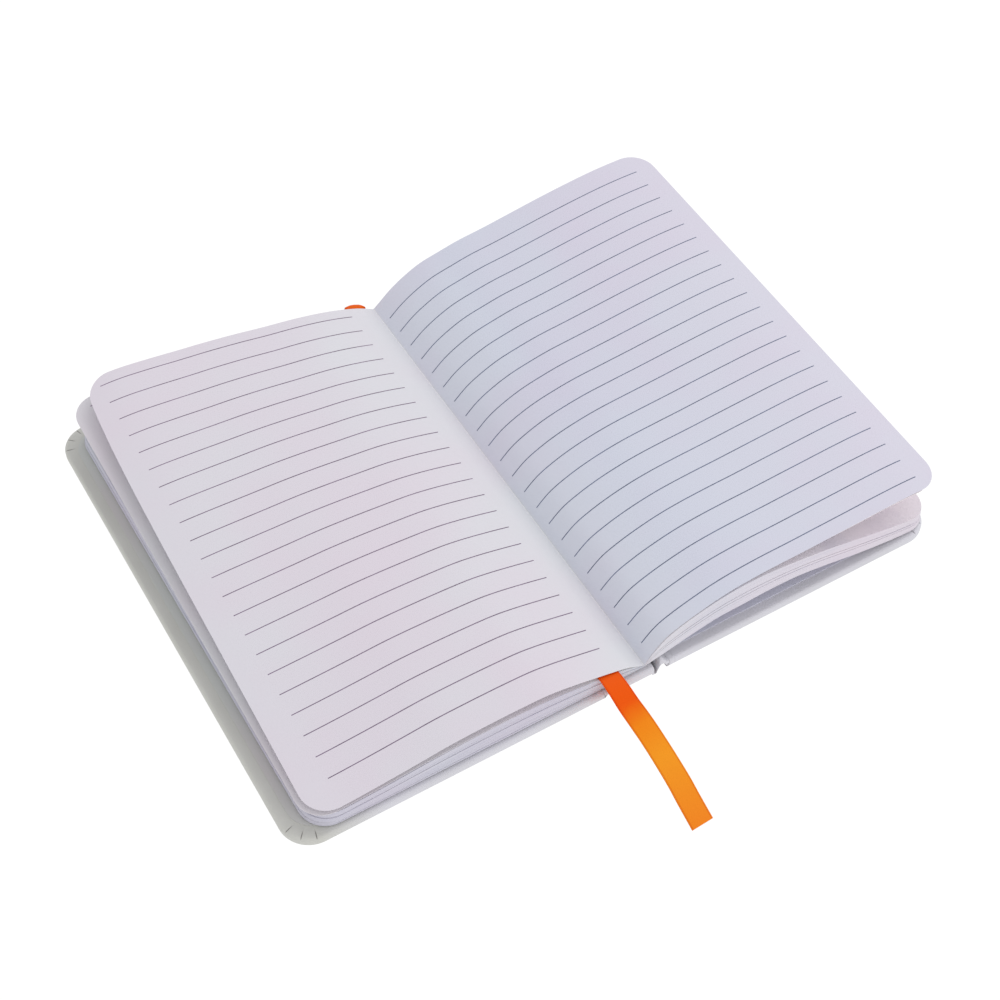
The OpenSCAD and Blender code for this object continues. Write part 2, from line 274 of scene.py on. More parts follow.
class Nodes:
    """Short way to write a material's node tree."""

    def __init__(self, name: str) -> None:
        """Start a material with its shader and output.

        Args:
            name: Name of the material.
        """
        self.material = bpy.data.materials.new(name)
        self.material.use_nodes = True
        self.tree = self.material.node_tree
        self.shader = self.tree.nodes["Principled BSDF"]

    def add(self, kind: str, **inputs: object) -> Node:
        """Add a node and set or link its inputs.

        Args:
            kind: Node type after ShaderNode.
            **inputs: Values, or sockets to link, by input name or index as i0, i1; a key that is a
                property of the node is set on it.

        Returns:
            The node.
        """
        node = self.tree.nodes.new(f"ShaderNode{kind}")
        for key, value in inputs.items():
            if hasattr(node, key) and key not in ("inputs", "outputs"):
                setattr(node, key, value)
                continue
            numbered = key[0] == "i" and key[1:].isdigit()
            self.put(node.inputs[int(key[1:]) if numbered else key.replace("_", " ")], value)
        return node

    def put(self, socket: NodeSocket, value: object) -> None:
        """Link a socket, or write a constant on it.

        Args:
            socket: Input to write.
            value: Socket to link, or constant.
        """
        if isinstance(value, NodeSocket):
            self.tree.links.new(value, socket)
        else:
            socket.default_value = value

    def math(self, operation: str, a: object, b: object = 0.0) -> NodeSocket:
        """Add a one-step sum.

        Args:
            operation: Name of the sum.
            a: First value or socket.
            b: Second value or socket.

        Returns:
            The result.
        """
        return self.add("Math", operation=operation, i0=a, i1=b).outputs[0]

    def ramp(self, value: object, stops: Sequence[tuple[float, Colour]]) -> NodeSocket:
        """Turn a value into a colour.

        Args:
            value: Value or socket from 0 to 1.
            stops: Positions and colours, in order.

        Returns:
            The colour.
        """
        node = self.add("ValToRGB", i0=value)
        ramp = node.color_ramp
        while len(ramp.elements) < len(stops):
            ramp.elements.new(0.5)
        for element, (at, colour) in zip(ramp.elements, stops):
            element.position, element.color = at, (*colour, 1)
        return node.outputs[0]

    def noise(self, coordinate: object, scale: float, detail: float = 3.0) -> NodeSocket:
        """Add a noise.

        Args:
            coordinate: Socket that says where.
            scale: Number of lumps per metre.
            detail: Number of finer layers.

        Returns:
            The noise's value.
        """
        return self.add("TexNoise", Vector=coordinate, Scale=scale, Detail=detail).outputs[0]

    def mix(self, colour: object, shade: object) -> NodeSocket:
        """Multiply a colour by a shade.

        Args:
            colour: Socket of the colour.
            shade: Socket of the shade.

        Returns:
            The product.
        """
        node = self.add("Mix", data_type="RGBA", blend_type="MULTIPLY", i0=1.0, i6=colour, i7=shade)
        return node.outputs[2]

    def finish(self, **sockets: object) -> Material:
        """Write the shader's sockets.

        Args:
            **sockets: Values, or sockets to link, by the shader's input names.

        Returns:
            The material.
        """
        for key, value in sockets.items():
            self.put(self.shader.inputs[key.replace("_", " ")], value)
        return self.material


def tinted(colour: Colour, tint: Colour) -> Colour:
    """Multiply a colour by a tint, channel by channel.

    Args:
        colour: Colour to change.
        tint: Factor of each channel.

    Returns:
        The new colour.
    """
    return tuple(c * t for c, t in zip(colour, tint))


@dataclass(frozen=True)
class Paper:
    """Smooth writing paper, faintly clouded, with painted light: warm on the left page and cool on the right.

    streaks darkens the edges of leaves by how deep they lie: partly their uneven edges, partly painted shade
    between them.
    """

    name: str
    warm: Colour
    cool: Colour
    cloud: float = 0.955
    streaks: bool = False

    def build(self) -> Material:
        """Make the material.

        Returns:
            The material.
        """
        n = Nodes(self.name)
        place = n.add("TexCoord").outputs["Object"]
        run = n.add("SeparateXYZ", i0=place)
        # Painted light across the book by X: one tone on the left half and another on the right, painted
        # highlights on both sides of the gutter, and a lighter painted light towards the right page's fore
        # edge.
        side = n.math("ADD", n.math("MULTIPLY", run.outputs[0], 5.0), 0.5)
        fold = tinted(self.warm, (1.01, 1.05, 1.02))
        stops = (
            (0.1, self.warm),
            (0.34, self.warm),
            (0.49, fold),
            (0.511, fold),
            (0.514, tinted(self.cool, (1.06, 1.05, 1.02))),
            (0.62, self.cool),
            (0.95, tinted(self.cool, (1.07, 1.01, 1.0))),
        )
        clouds = ((0.34, (1.0, self.cloud, 0.985)), (0.62, (0.985, 1.0, 1.0)))
        colour = n.ramp(side, stops)
        colour = n.mix(colour, n.ramp(n.noise(place, 26.0, 4.0), clouds))
        level = n.noise(place, 5200.0, 2.0)
        # Streaks on the leaf edges: partly uneven edges, partly painted shade between the leaves.
        if self.streaks:
            depth = n.add("Attribute", attribute_name="depth").outputs["Fac"]
            along = [n.math("MULTIPLY", run.outputs[i], 18.0) for i in (0, 1)]
            sheets = n.add("CombineXYZ", X=along[0], Y=along[1], Z=n.math("MULTIPLY", depth, 9.0))
            level = n.noise(sheets.outputs[0], 1.6, 4.0)
            colour = n.mix(colour, n.ramp(level, ((0.34, (0.80, 0.81, 0.88)), (0.52, WHITE))))
        bump = n.add("Bump", Strength=0.3 if self.streaks else 0.12, Distance=0.00012, Height=level)
        return n.finish(Base_Color=colour, Roughness=0.78, Normal=bump.outputs[0], Specular_IOR_Level=0.2)


@dataclass(frozen=True)
class Coated:
    """White coated cover cloth with a fine pebbled grain, with painted shade in its pleats, the crumples by
    the joints and the joints' grooves.

    warm is its colour at the front cover's fore edge, a greyer painted shade, and cool its colour further in.
    """

    name: str
    warm: Colour
    cool: Colour

    def build(self) -> Material:
        """Make the material.

        Returns:
            The material.
        """
        n = Nodes(self.name)
        place = n.add("TexCoord").outputs["Object"]
        run = n.add("SeparateXYZ", i0=place)
        side = n.math("MULTIPLY", n.math("ADD", run.outputs[0], 0.086), 30.0)
        clouds = ((0.35, (0.95, 0.95, 0.94)), (0.65, WHITE))
        # Painted shade: greyer towards the front cover's fore edge.
        colour = n.ramp(side, ((0.0, self.warm), (0.5, self.cool)))
        colour = n.mix(colour, n.ramp(n.noise(place, 60.0, 4.0), clouds))
        # Painted shade in the pleats, the crumples by the joints and the joints' grooves, read from the depth
        # attribute.
        painted_fold_shade = n.add("Attribute", attribute_name="depth").outputs["Fac"]
        colour = n.mix(colour, n.ramp(painted_fold_shade, ((0.15, WHITE), (0.9, (0.5, 0.48, 0.48)))))
        cells = n.add("TexVoronoi", Vector=place, Scale=1500.0).outputs[0]
        grain = n.math("ADD", n.math("MULTIPLY", cells, 0.7), n.math("MULTIPLY", n.noise(place, 420.0), 0.6))
        bump = n.add("Bump", Strength=0.2, Distance=0.0001, Height=grain)
        rough = n.math("ADD", n.math("MULTIPLY", grain, 0.12), 0.42)
        return n.finish(Base_Color=colour, Roughness=rough, Normal=bump.outputs[0], Specular_IOR_Level=0.35)


@dataclass(frozen=True)
class Satin:
    """Orange satin ribbon: fine cross weave, firm selvedges and a painted sheen that shifts along it.

    The stops along it run from the glued end to the loose one, darker red first and then a lighter orange
    painted sheen towards the loose end; edge_stops run from middle to selvedge.
    """

    name: str
    painted_sheen_stops: tuple[tuple[float, Colour], ...] = (
        (0.0, (0.78, 0.11, 0.004)),
        (0.822, (0.80, 0.086, 0.002)),
        (0.852, (0.84, 0.23, 0.008)),
        (0.90, (0.88, 0.31, 0.014)),
        (1.0, (0.86, 0.225, 0.012)),
    )
    edge_stops: tuple[tuple[float, Colour], ...] = (
        (0.41, WHITE),
        (0.445, (0.80, 0.55, 0.45)),
        (0.47, (1.0, 0.95, 0.9)),
        (0.5, (0.86, 0.7, 0.6)),
    )

    def build(self) -> Material:
        """Make the material.

        Returns:
            The material.
        """
        n = Nodes(self.name)
        uv = n.add("SeparateXYZ", i0=n.add("UVMap", uv_map="UVMap").outputs[0])
        along, across = uv.outputs[0], uv.outputs[1]
        edge = n.math("ABSOLUTE", n.math("SUBTRACT", across, 0.5))
        patch = n.noise(n.add("TexCoord").outputs["Object"], 260.0, 4.0)
        shift = n.math("ADD", along, n.math("MULTIPLY", n.math("SUBTRACT", patch, 0.5), 0.012))
        # Painted sheen and shade along the ribbon, in its base colour.
        colour = n.mix(n.ramp(shift, self.painted_sheen_stops), n.ramp(edge, self.edge_stops))
        flat = n.add("CombineXYZ", X=along, Y=across).outputs[0]
        weft = n.add("TexWave", Vector=flat, Scale=190.0, Distortion=0.4, Detail=1.0).outputs[1]
        level = n.math("ADD", n.math("MULTIPLY", weft, 0.5), patch)
        bump = n.add("Bump", Strength=0.25, Distance=0.00006, Height=level)
        return n.finish(
            Base_Color=colour,
            Roughness=0.5,
            Normal=bump.outputs[0],
            Specular_IOR_Level=0.3,
            Specular_Tint=(1.0, 0.55, 0.2, 1),
            Anisotropic=0.5,
        )


@dataclass(frozen=True)
class Ink:
    """Thin printed line, slightly uneven; pale is how much lighter its faint places are."""

    name: str
    colour: Colour
    pale: float = 1.5

    def build(self) -> Material:
        """Make the material.

        Returns:
            The material.
        """
        n = Nodes(self.name)
        uneven = n.noise(n.add("TexCoord").outputs["Object"], 160.0)
        faint = tuple(min(1.0, c * self.pale) for c in self.colour)
        return n.finish(Base_Color=n.ramp(uneven, ((0.35, self.colour), (0.7, faint))), Roughness=0.7)


@dataclass(frozen=True)
class Board:
    """Grey board with a pressed fibre."""

    name: str
    dark: Colour = (0.34, 0.31, 0.24)
    light: Colour = (0.5, 0.46, 0.37)

    def build(self) -> Material:
        """Make the material.

        Returns:
            The material.
        """
        n = Nodes(self.name)
        fibre = n.noise(n.add("TexCoord").outputs["Object"], 900.0, 6.0)
        colour = n.ramp(fibre, ((0.3, self.dark), (0.7, self.light)))
        bump = n.add("Bump", Strength=0.4, Distance=0.0001, Height=fibre)
        return n.finish(Base_Color=colour, Roughness=0.9, Normal=bump.outputs[0])


# ---- meshes


@dataclass
class Mesh:
    """Points and faces gathered from one or more grids, in millimetres.

    depth is kept as an attribute of the mesh, for the materials: a leaf's depth in its stack, and on the wrap
    the painted shade in its folds and grooves.
    """

    points: list[Array] = field(default_factory=list)
    faces: list[tuple[int, ...]] = field(default_factory=list)
    depth: list[Array] = field(default_factory=list)
    uv: list[Array] = field(default_factory=list)
    count: int = 0

    def lay(self, points: Array, depth: Array | None = None, uv: Array | None = None) -> int:
        """Add points.

        Args:
            points: Any grid of points.
            depth: Depth of each point, or of each column; on the wrap, its painted shade.
            uv: Texture place of each point.

        Returns:
            The number of the first one.
        """
        flat = points.reshape(-1, 3)
        deep = np.zeros(len(flat)) if depth is None else np.broadcast_to(depth, points.shape[:-1]).reshape(-1)
        self.points.append(flat)
        self.depth.append(deep)
        self.uv.append(np.zeros((len(flat), 2)) if uv is None else uv.reshape(-1, 2))
        first, self.count = self.count, self.count + len(flat)
        return first

    def grid(self, first: int, rows: int, columns: int, flip: bool = False, wrap: bool = False) -> None:
        """Join a grid of points that were laid row by row.

        Args:
            first: Number of its first point.
            rows: Number of rows.
            columns: Number of columns.
            flip: Whether the faces look the other way.
            wrap: Whether the last row joins the first.
        """
        for r in range(rows if wrap else rows - 1):
            here, there = first + r * columns, first + (r + 1) % rows * columns
            for c in range(columns - 1):
                quad = (here + c, here + c + 1, there + c + 1, there + c)
                self.faces.append(quad[::-1] if flip else quad)

    def rim(self, a: int, b: int, rows: int, columns: int, flip: bool = False) -> None:
        """Close the gap between the edges of two grids of the same size.

        Args:
            a: Number of the first grid's first point.
            b: Number of the second grid's first point.
            rows: Number of rows of each.
            columns: Number of columns of each.
            flip: Whether the faces look the other way.
        """
        loop = [(r, 0) for r in range(rows)] + [(rows - 1, c) for c in range(1, columns)]
        loop += [(r, columns - 1) for r in range(rows - 2, -1, -1)]
        loop += [(0, c) for c in range(columns - 2, 0, -1)]
        for (r0, c0), (r1, c1) in zip(loop, loop[1:] + loop[:1]):
            i, j = r0 * columns + c0, r1 * columns + c1
            quad = (a + i, b + i, b + j, a + j)
            self.faces.append(quad if flip else quad[::-1])

    def object(self, name: str, material: Material, smooth: bool = True) -> Object:
        """Make the Blender object, in metres.

        Args:
            name: Name of the object and its mesh.
            material: Its material.
            smooth: Whether it is shaded smooth.

        Returns:
            The object.
        """
        data = bpy.data.meshes.new(name)
        data.from_pydata((np.concatenate(self.points) * MM).tolist(), [], self.faces)
        depth = data.attributes.new("depth", "FLOAT", "POINT")
        depth.data.foreach_set("value", np.concatenate(self.depth).astype(np.float32))
        corners = np.empty(len(data.loops), dtype=np.int32)
        data.loops.foreach_get("vertex_index", corners)
        uv = np.concatenate(self.uv)[corners].astype(np.float32)
        data.uv_layers.new(name="UVMap").data.foreach_set("uv", uv.reshape(-1))
        data.polygons.foreach_set("use_smooth", np.full(len(data.polygons), smooth))
        data.materials.append(material)
        data.validate()
        data.update()
        made = bpy.data.objects.new(name, data)
        bpy.context.scene.collection.objects.link(made)
        return made


def crease(piece: Object, degrees: float) -> None:
    """Keep the edges of a smooth mesh crisp where they are sharp.

    Args:
        piece: Object to change.
        degrees: Angle from which on an edge is sharp.
    """
    piece.data.set_sharp_from_angle(angle=np.radians(degrees))


# ---- leaves


@dataclass
class Sheet:
    """A leaf, or a group of leaves, as a closed curved solid with round fore corners.

    trim is how much shorter than a leaf it is at the head and the tail. depth is how deep its two
    faces lie in the stack, which leans its fore edge out by the bevel that the CAD has.
    """

    side: Side
    top: Face
    bottom: Face
    width: Callable[[Array], Array]
    trim: float
    depth: tuple[float, float] = (0.0, 0.0)
    corner_steps: int = 10
    crowding: float = 1.35

    def places(self, across: int, up: int) -> tuple[Array, Array, Array]:
        """Grid of places on the sheet, closer together near the gutter and the fore edge.

        Args:
            across: Steps from the gutter to the fore edge.
            up: Steps from the tail to the head.

        Returns:
            Share of the leaf, X and Y of each grid point, in millimetres.
        """
        near = S.leaf_r / S.leaf_w
        flat = (1 - near) * np.linspace(0, 1, across - self.corner_steps + 1)[:-1] ** self.crowding
        corner = 1 - near + near * np.sin(np.linspace(0, np.pi / 2, self.corner_steps))
        u = np.concatenate([flat, corner])
        half = S.leaf_h / 2 - self.trim
        inside = np.clip((u - (1 - near)) / near, 0, 1) * S.leaf_r
        reach = half - (S.leaf_r - np.sqrt(np.clip(S.leaf_r**2 - inside**2, 0, None)))
        uu = np.repeat(u[:, None], up, 1)
        yy = np.linspace(-1, 1, up)[None, :] * reach[:, None]
        return uu, uu * self.width(yy), yy

    def put(self, mesh: Mesh, across: int, up: int) -> None:
        """Add the sheet to a mesh.

        Args:
            mesh: Mesh to add to.
            across: Steps from the gutter to the fore edge.
            up: Steps from the tail to the head.
        """
        u, run, y = self.places(across, up)
        x = S.gutter_x + self.side.value * run
        flip = self.side is Side.RIGHT
        faces = []
        for deep, face in zip(self.depth, (self.top, self.bottom)):
            lean = self.side.value * S.bevel * deep / STACK_DEPTH * u
            points = np.stack([x + lean, y - S.tail_shift, face(u, y)], -1)
            faces.append(mesh.lay(points, depth=np.full(u.shape, deep)))
        mesh.grid(faces[0], *u.shape, flip=not flip)
        mesh.grid(faces[1], *u.shape, flip=flip)
        mesh.rim(*faces, *u.shape, flip=flip)


@dataclass(frozen=True)
class Ruling:
    """Lines printed on a leaf, in millimetres.

    start and end are the distances of a line's ends from the gutter, and first is the first line's
    place towards the head.
    """

    side: Side
    layer: Layer
    start: float
    end: float
    first: float
    count: int = 22
    pitch: float = 6.07
    width: float = 0.24
    lift: float = 0.035
    steps: int = 64


@dataclass
class LeafBlock:
    """All the leaves: two stacks in thin groups, the lifted leaves and their ruled lines."""

    paper: Material
    shaded: Material
    edges: Material
    inks: dict[Side, Material]
    groups: int = 6
    group_gap: float = 0.007
    leaf_t: float = 0.12
    rulings: tuple[Ruling, ...] = (
        Ruling(Side.LEFT, Layer.TOP_LEAF, 8.4, 81.8, 65.4),
        Ruling(Side.RIGHT, Layer.TOP_LEAF, 1.6, 83.2, 62.0),
        Ruling(Side.LEFT, Layer.NEXT_LEAF, 80.0, 85.6, 65.4, count=6),
    )

    def stack(self, side: Side) -> Object:
        """Draw a stack as groups of leaves with uneven edges.

        Args:
            side: Half of the book.

        Returns:
            The piece.
        """
        rng = np.random.default_rng(SEED + side.value)
        cuts = np.concatenate([[0], np.cumsum(rng.uniform(0.4, 1.6, self.groups))])
        cuts /= cuts[-1]

        def face(share: float, u: Array, y: Array) -> Array:
            """Height of the face at a share of the way from the stack's top to its underside."""
            top, under = height(side, Layer.STACK, u, y), height(side, Layer.UNDERSIDE, u, y)
            return top + (under - top) * share

        mesh = Mesh()
        for k in range(self.groups):
            high = cuts[k] + self.group_gap * (k > 0)
            low = cuts[k + 1] - self.group_gap * (k < self.groups - 1)
            reach = S.leaf_w + rng.uniform(-0.28, 0.12)
            trim = 0.02 + rng.uniform(0.0, 0.22)
            depth = (STACK_DEPTH * high, STACK_DEPTH * low)
            width = partial(np.full_like, fill_value=reach)
            Sheet(side, partial(face, high), partial(face, low), width, trim, depth).put(mesh, 44, 16)
        return self.own(mesh.object(f"{side.name.lower()}_leaf_groups", self.edges))

    def leaf(self, side: Side, layer: Layer) -> Object:
        """Draw one thin leaf that lies free of its stack.

        Args:
            side: Half of the book.
            layer: Which leaf.

        Returns:
            The piece.
        """
        top = partial(height, side, layer)
        # The leaves under the top leaves take a brighter copy of the paper: painted light against the shade
        # under the top leaf.
        trim, paper = (0.05, self.paper) if layer is Layer.TOP_LEAF else (0.25, self.shaded)
        mesh = Mesh()
        width = partial(self.reach, side, layer)
        Sheet(side, top, lambda u, y: top(u, y) - self.leaf_t, width, trim).put(mesh, 72, 48)
        return self.own(mesh.object(f"{side.name.lower()}_{layer.name.lower()}", paper))

    @staticmethod
    def reach(side: Side, layer: Layer, y: Array) -> Array:
        """How far a leaf runs from the gutter: the left top leaf draws in towards the head.

        Args:
            side: Half of the book.
            layer: Which leaf.
            y: Places towards the head, in millimetres.

        Returns:
            The leaf's width at each place, in millimetres.
        """
        head = np.clip((np.asarray(y) + S.leaf_h / 2) / S.leaf_h, 0, 1)
        if side is Side.LEFT and layer is Layer.TOP_LEAF:
            return S.leaf_w + 0.6 - 2.2 * head - 2.4 * head**8
        spare = {(Side.LEFT, Layer.NEXT_LEAF): 1.6, (Side.RIGHT, Layer.NEXT_LEAF): -0.9}
        return np.full_like(head, S.leaf_w + spare.get((side, layer), 0.0))

    def rules(self, lines: Ruling) -> Object:
        """Draw ruled lines as thin strips on a leaf.

        Args:
            lines: Lines to draw.

        Returns:
            The piece.
        """
        side, layer = lines.side, lines.layer
        run = np.linspace(lines.start, lines.end, lines.steps)
        mesh = Mesh()
        for k in range(lines.count):
            middle = lines.first - lines.pitch * k
            strip = []
            for y in (middle - lines.width / 2, middle + lines.width / 2):
                yy = np.full_like(run, y)
                z = height(side, layer, run / self.reach(side, layer, yy), yy) + lines.lift
                strip.append(np.stack([S.gutter_x + side.value * run, yy, z], -1))
            mesh.grid(mesh.lay(np.array(strip)), 2, len(run), flip=side is Side.LEFT)
        return self.own(mesh.object(f"{side.name.lower()}_{layer.name.lower()}_rules", self.inks[side]))

    @staticmethod
    def own(piece: Object) -> Object:
        """Let a piece stand for the block and ride with it.

        Args:
            piece: Piece to attach.

        Returns:
            The same piece.
        """
        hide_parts("text_block")
        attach(piece, "book_block")
        crease(piece, 40)
        return piece

    def build(self) -> None:
        """Draw every leaf."""
        for side in Side:
            self.stack(side)
        for side in Side:
            for layer in (Layer.TOP_LEAF, Layer.NEXT_LEAF):
                self.leaf(side, layer)
        for lines in self.rulings:
            self.rules(lines)


# ---- cover


@dataclass
class Cover:
    """One side of the cover: the wrap round its board, pleated at the two outer corners.

    pleats are the places of the pleats, as shares of a corner's quarter turn.
    """

    side: Side
    body: str
    node: str
    wrap: Material
    edge_r: float = 0.9
    turn: float = 7.0
    pleats: tuple[float, ...] = (0.2, 0.53, 0.84)
    pleat_w: float = 0.012
    pleat_depth: float = 0.22
    pleat_reach: float = 2.7
    swell: float = 0.16
    crumple_run: float = 2.4
    ripple: float = 0.03

    def outline(self) -> tuple[Array, Array, Array]:
        """Edge of the cover from the joint at the head round to the joint at the tail.

        Returns:
            Points, outward directions, and each point's share of a corner or -1 on a straight side.
        """
        half, r, far = S.cover_h / 2, S.cover_r, S.cover_x
        fine, coarse = np.linspace(S.board_x, S.board_x + 6, 24), np.linspace(S.board_x + 7, far - r, 20)
        head = np.concatenate([fine, coarse])[:-1]
        fore = np.linspace(half - r, -half + r, 40)[1:-1]
        share = np.linspace(0, 1, 121)
        arc = np.stack([np.sin(share * np.pi / 2), np.cos(share * np.pi / 2)], -1)
        down, centre = np.array((1.0, -1.0)), np.array((far - r, half - r))
        points = [
            np.stack([head, np.full_like(head, half)], -1),
            centre + r * arc,
            np.stack([np.full_like(fore, far), fore], -1),
            (centre + r * arc[:, ::-1]) * down,
            np.stack([head[::-1], np.full_like(head, -half)], -1),
        ]
        out = [
            np.tile((0.0, 1.0), (len(head), 1)),
            arc,
            np.tile((1.0, 0.0), (len(fore), 1)),
            arc[:, ::-1] * down,
            np.tile((0.0, -1.0), (len(head), 1)),
        ]
        straight_head, straight_fore = np.full(len(head), -1.0), np.full(len(fore), -1.0)
        corner = [straight_head, share, straight_fore, share, straight_head]
        return np.concatenate(points), np.concatenate(out), np.concatenate(corner)

    def profile(self) -> Array:
        """Wrap's section, from its inner edge on top, over the rounded edge, to the underside.

        Returns:
            Distance from the edge and height of each point, in millimetres.
        """
        r, t = self.edge_r, S.cover_t
        turn = np.linspace(0, np.pi / 2, 7)
        top = [(d, t) for d in np.linspace(self.turn, r, 9)[:-1]]
        top += [(r - r * np.sin(a), t - r + r * np.cos(a)) for a in turn]
        low = [(r - r * np.cos(a), r - r * np.sin(a)) for a in turn]
        low += [(d, 0.0) for d in np.linspace(r, self.turn, 5)[1:]]
        return np.array(top + low)

    def relief(self, x: float, share: float, ripple: float, section: Array) -> tuple[Array, Array]:
        """Raise and sink the section with the pleats, the crumples by the joint and a faint ripple.

        Args:
            x: Distance of this place from the spine's middle.
            share: Share of a corner, or -1 on a straight side.
            ripple: Strength of the ripple here.
            section: Distance from the edge and height of each point.

        Returns:
            New heights, and the painted shade of each point in its fold.
        """
        d, z = section[:, 0], section[:, 1]
        upper = np.clip((z - S.cover_t / 2) / (S.cover_t / 2), 0, 1)
        inward = np.clip(d / 3.0, 0, 1)
        fold_shade = np.zeros(len(d))
        if share >= 0:
            tuck = max(np.exp(-(((share - at) / self.pleat_w) ** 2)) for at in self.pleats)
            swells = np.resize((0.0, self.swell), len(self.pleats))
            near = upper * np.clip(d / 0.5, 0, 1) * np.clip((self.pleat_reach - d) / 0.6, 0, 1)
            z = z + near * (np.interp(share, (0, *self.pleats, 1), (0, *swells, 0)) - self.pleat_depth * tuck)
            # Painted shade in the pleats.
            fold_shade = near * tuck
        crumple = np.exp(-max(x - S.board_x, 0) / self.crumple_run)
        z = z + upper * crumple * (0.16 * np.sin(2.9 * x + 1.5 * d) + 0.1 * np.sin(7.3 * x - 2.2 * d) - 0.1)
        # Painted shade as dark ticks along the crumples by the joint.
        fold_shade = np.maximum(fold_shade, 0.8 * crumple * (np.sin(4.1 * x + d) > 0.93))
        return z + upper * (1 - inward) * self.ripple * ripple, fold_shade

    def build(self) -> Object:
        """Draw the wrap.

        Returns:
            The piece.
        """
        points, out, corner = self.outline()
        section = self.profile()
        rng = np.random.default_rng(SEED * 3 + self.side.value)
        ripples = np.convolve(rng.normal(0, 1, len(points)), np.ones(5) / 5, mode="same")
        rows, fold_shades = [], []
        for (x, y), (nx, ny), share, ripple in zip(points, out, corner, ripples):
            z, fold_shade = self.relief(x, share, ripple, section)
            d = section[:, 0]
            rows.append(np.stack([self.side.value * (x - nx * d), y - ny * d, z], -1))
            fold_shades.append(fold_shade)
        mesh = Mesh()
        first = mesh.lay(np.array(rows), depth=np.array(fold_shades))
        flip = self.side is Side.LEFT
        mesh.grid(first, len(rows), len(section), flip=not flip)
        loop = [first + r * len(section) + len(section) - 1 for r in range(len(rows))]
        mesh.faces.append(tuple(loop if flip else loop[::-1]))
        piece = mesh.object(f"{self.body}_wrap", self.wrap)
        crease(piece, 50)
        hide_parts(self.node)
        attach(piece, self.body)
        return piece


@dataclass(frozen=True)
class Joint:
    """Flexible strip of wrap between the spine and a cover.

    curl is the height of its upper face at each stop, and rise the height that it never passes.
    """

    side: Side
    body: str
    rise: float
    curl: tuple[float, ...]
    stops: tuple[float, ...] = (0, 0.18, 0.32, 0.46, 0.6, 0.74, 0.88, 1)


@dataclass
class Spine:
    """Wrap round the spine strip, and the two flexible joints between it and the covers."""

    wrap: Material
    edge_r: float = 0.9
    skin: float = 1.5
    joints: tuple[Joint, ...] = (
        Joint(Side.LEFT, "front_cover", 3.1, (0.9, 0.9, 1.5, 2.3, 2.8, 2.8, 2.7, 2.6)),
        Joint(Side.RIGHT, "back_cover", 4.4, (0.9, 0.6, 2.2, 3.9, 4.3, 3.9, 3.2, 2.7)),
    )

    def slab(self) -> Object:
        """Draw the wrapped strip with its rounded ends.

        Returns:
            The piece.
        """
        r, t, half = self.edge_r, S.cover_t, S.cover_h / 2
        turn = np.linspace(0, np.pi / 2, 7)
        ring = [(half - r + r * np.sin(a), t - r + r * np.cos(a)) for a in turn]
        ring += [(half - r + r * np.cos(a), r - r * np.sin(a)) for a in turn]
        ring += [(-y, z) for y, z in ring[::-1]]
        xs = np.linspace(-S.spine_half, S.spine_half, 9)
        mesh = Mesh()
        first = mesh.lay(np.array([[(x, y, z) for x in xs] for y, z in ring]))
        mesh.grid(first, len(ring), len(xs), wrap=True)
        for column, flip in ((0, False), (len(xs) - 1, True)):
            loop = [first + row * len(xs) + column for row in range(len(ring))]
            mesh.faces.append(tuple(loop[::-1] if flip else loop))
        piece = mesh.object("spine_wrap_look", self.wrap)
        crease(piece, 50)
        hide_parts("spine_wrap")
        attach(piece, "book_block")
        return piece

    @staticmethod
    def stations() -> Array:
        """Places of a joint's rows from the tail to the head, closer together near its ends.

        Returns:
            Places in millimetres.
        """
        half = S.cover_h / 2
        end = half - np.array([0, 0.15, 0.4, 0.8])
        near = np.concatenate([end, np.linspace(half - 1.3, half - 12, 26)])
        return np.concatenate([near, np.linspace(half - 14, 14 - half, 30), -near[::-1]])[::-1]

    def section(self, joint: Joint, q: Array, inset: float) -> tuple[Array, Array]:
        """Heights of a joint's two faces in one row.

        Args:
            joint: Joint that is drawn.
            q: Places from the spine to the board, 0 to 1.
            inset: Distance of the row from the nearer end.

        Returns:
            Heights of the upper and the lower face.
        """
        upper = np.interp(q, joint.stops, joint.curl)
        lower = np.clip(upper - self.skin, 0, None) * np.sin(np.pi * q) ** 0.5
        wave = 0.22 * np.sin(9 * q + 1.7 * inset) + 0.16 * np.sin(17 * q - 2.3 * inset + 1)
        crumple = np.exp(-inset / 3.0) * np.sin(np.pi * q) * wave
        round_off = 0.55 * (1 - np.clip(inset / 0.8, 0, 1)) ** 2
        faces = upper + crumple - round_off, lower + (0.5 * crumple + round_off) * (lower > 0)
        return tuple(np.clip(face, 0, joint.rise) for face in faces)

    def strip(self, joint: Joint) -> Object:
        """Draw the cover material over a joint, curled up beside its board.

        Args:
            joint: Joint to draw.

        Returns:
            The piece.
        """
        sign, body = joint.side.value, joint.body
        q = np.linspace(0, 1, 25)
        x = S.spine_half - 0.3 + (S.board_x - S.spine_half + 0.5) * q
        ys = self.stations()
        insets = S.cover_h / 2 - np.abs(ys)
        # Painted shade in the groove by the spine, strongest near the head and tail ends.
        hollow_shade = np.exp(-(((q - 0.2) / 0.09) ** 2))[None, :] * np.exp(-insets / 5.0)[:, None]
        heights = np.array([self.section(joint, q, inset) for inset in insets])
        across, up = np.broadcast_arrays(sign * x, ys[:, None])
        mesh = Mesh()
        grids = [mesh.lay(np.stack([across, up, heights[:, i]], -1), depth=hollow_shade) for i in (0, 1)]
        flip = joint.side is Side.RIGHT
        mesh.grid(grids[0], *hollow_shade.shape, flip=not flip)
        mesh.grid(grids[1], *hollow_shade.shape, flip=flip)
        mesh.rim(*grids, *hollow_shade.shape, flip=not flip)
        piece = mesh.object(f"{joint.side.name.lower()}_joint_strip", self.wrap)
        crease(piece, 50)
        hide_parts("spine_wrap")
        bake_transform(piece)
        return piece

    def build(self) -> None:
        """Draw the strip's wrap and both joints."""
        self.slab()
        for joint in self.joints:
            self.strip(joint)


# ---- ribbon


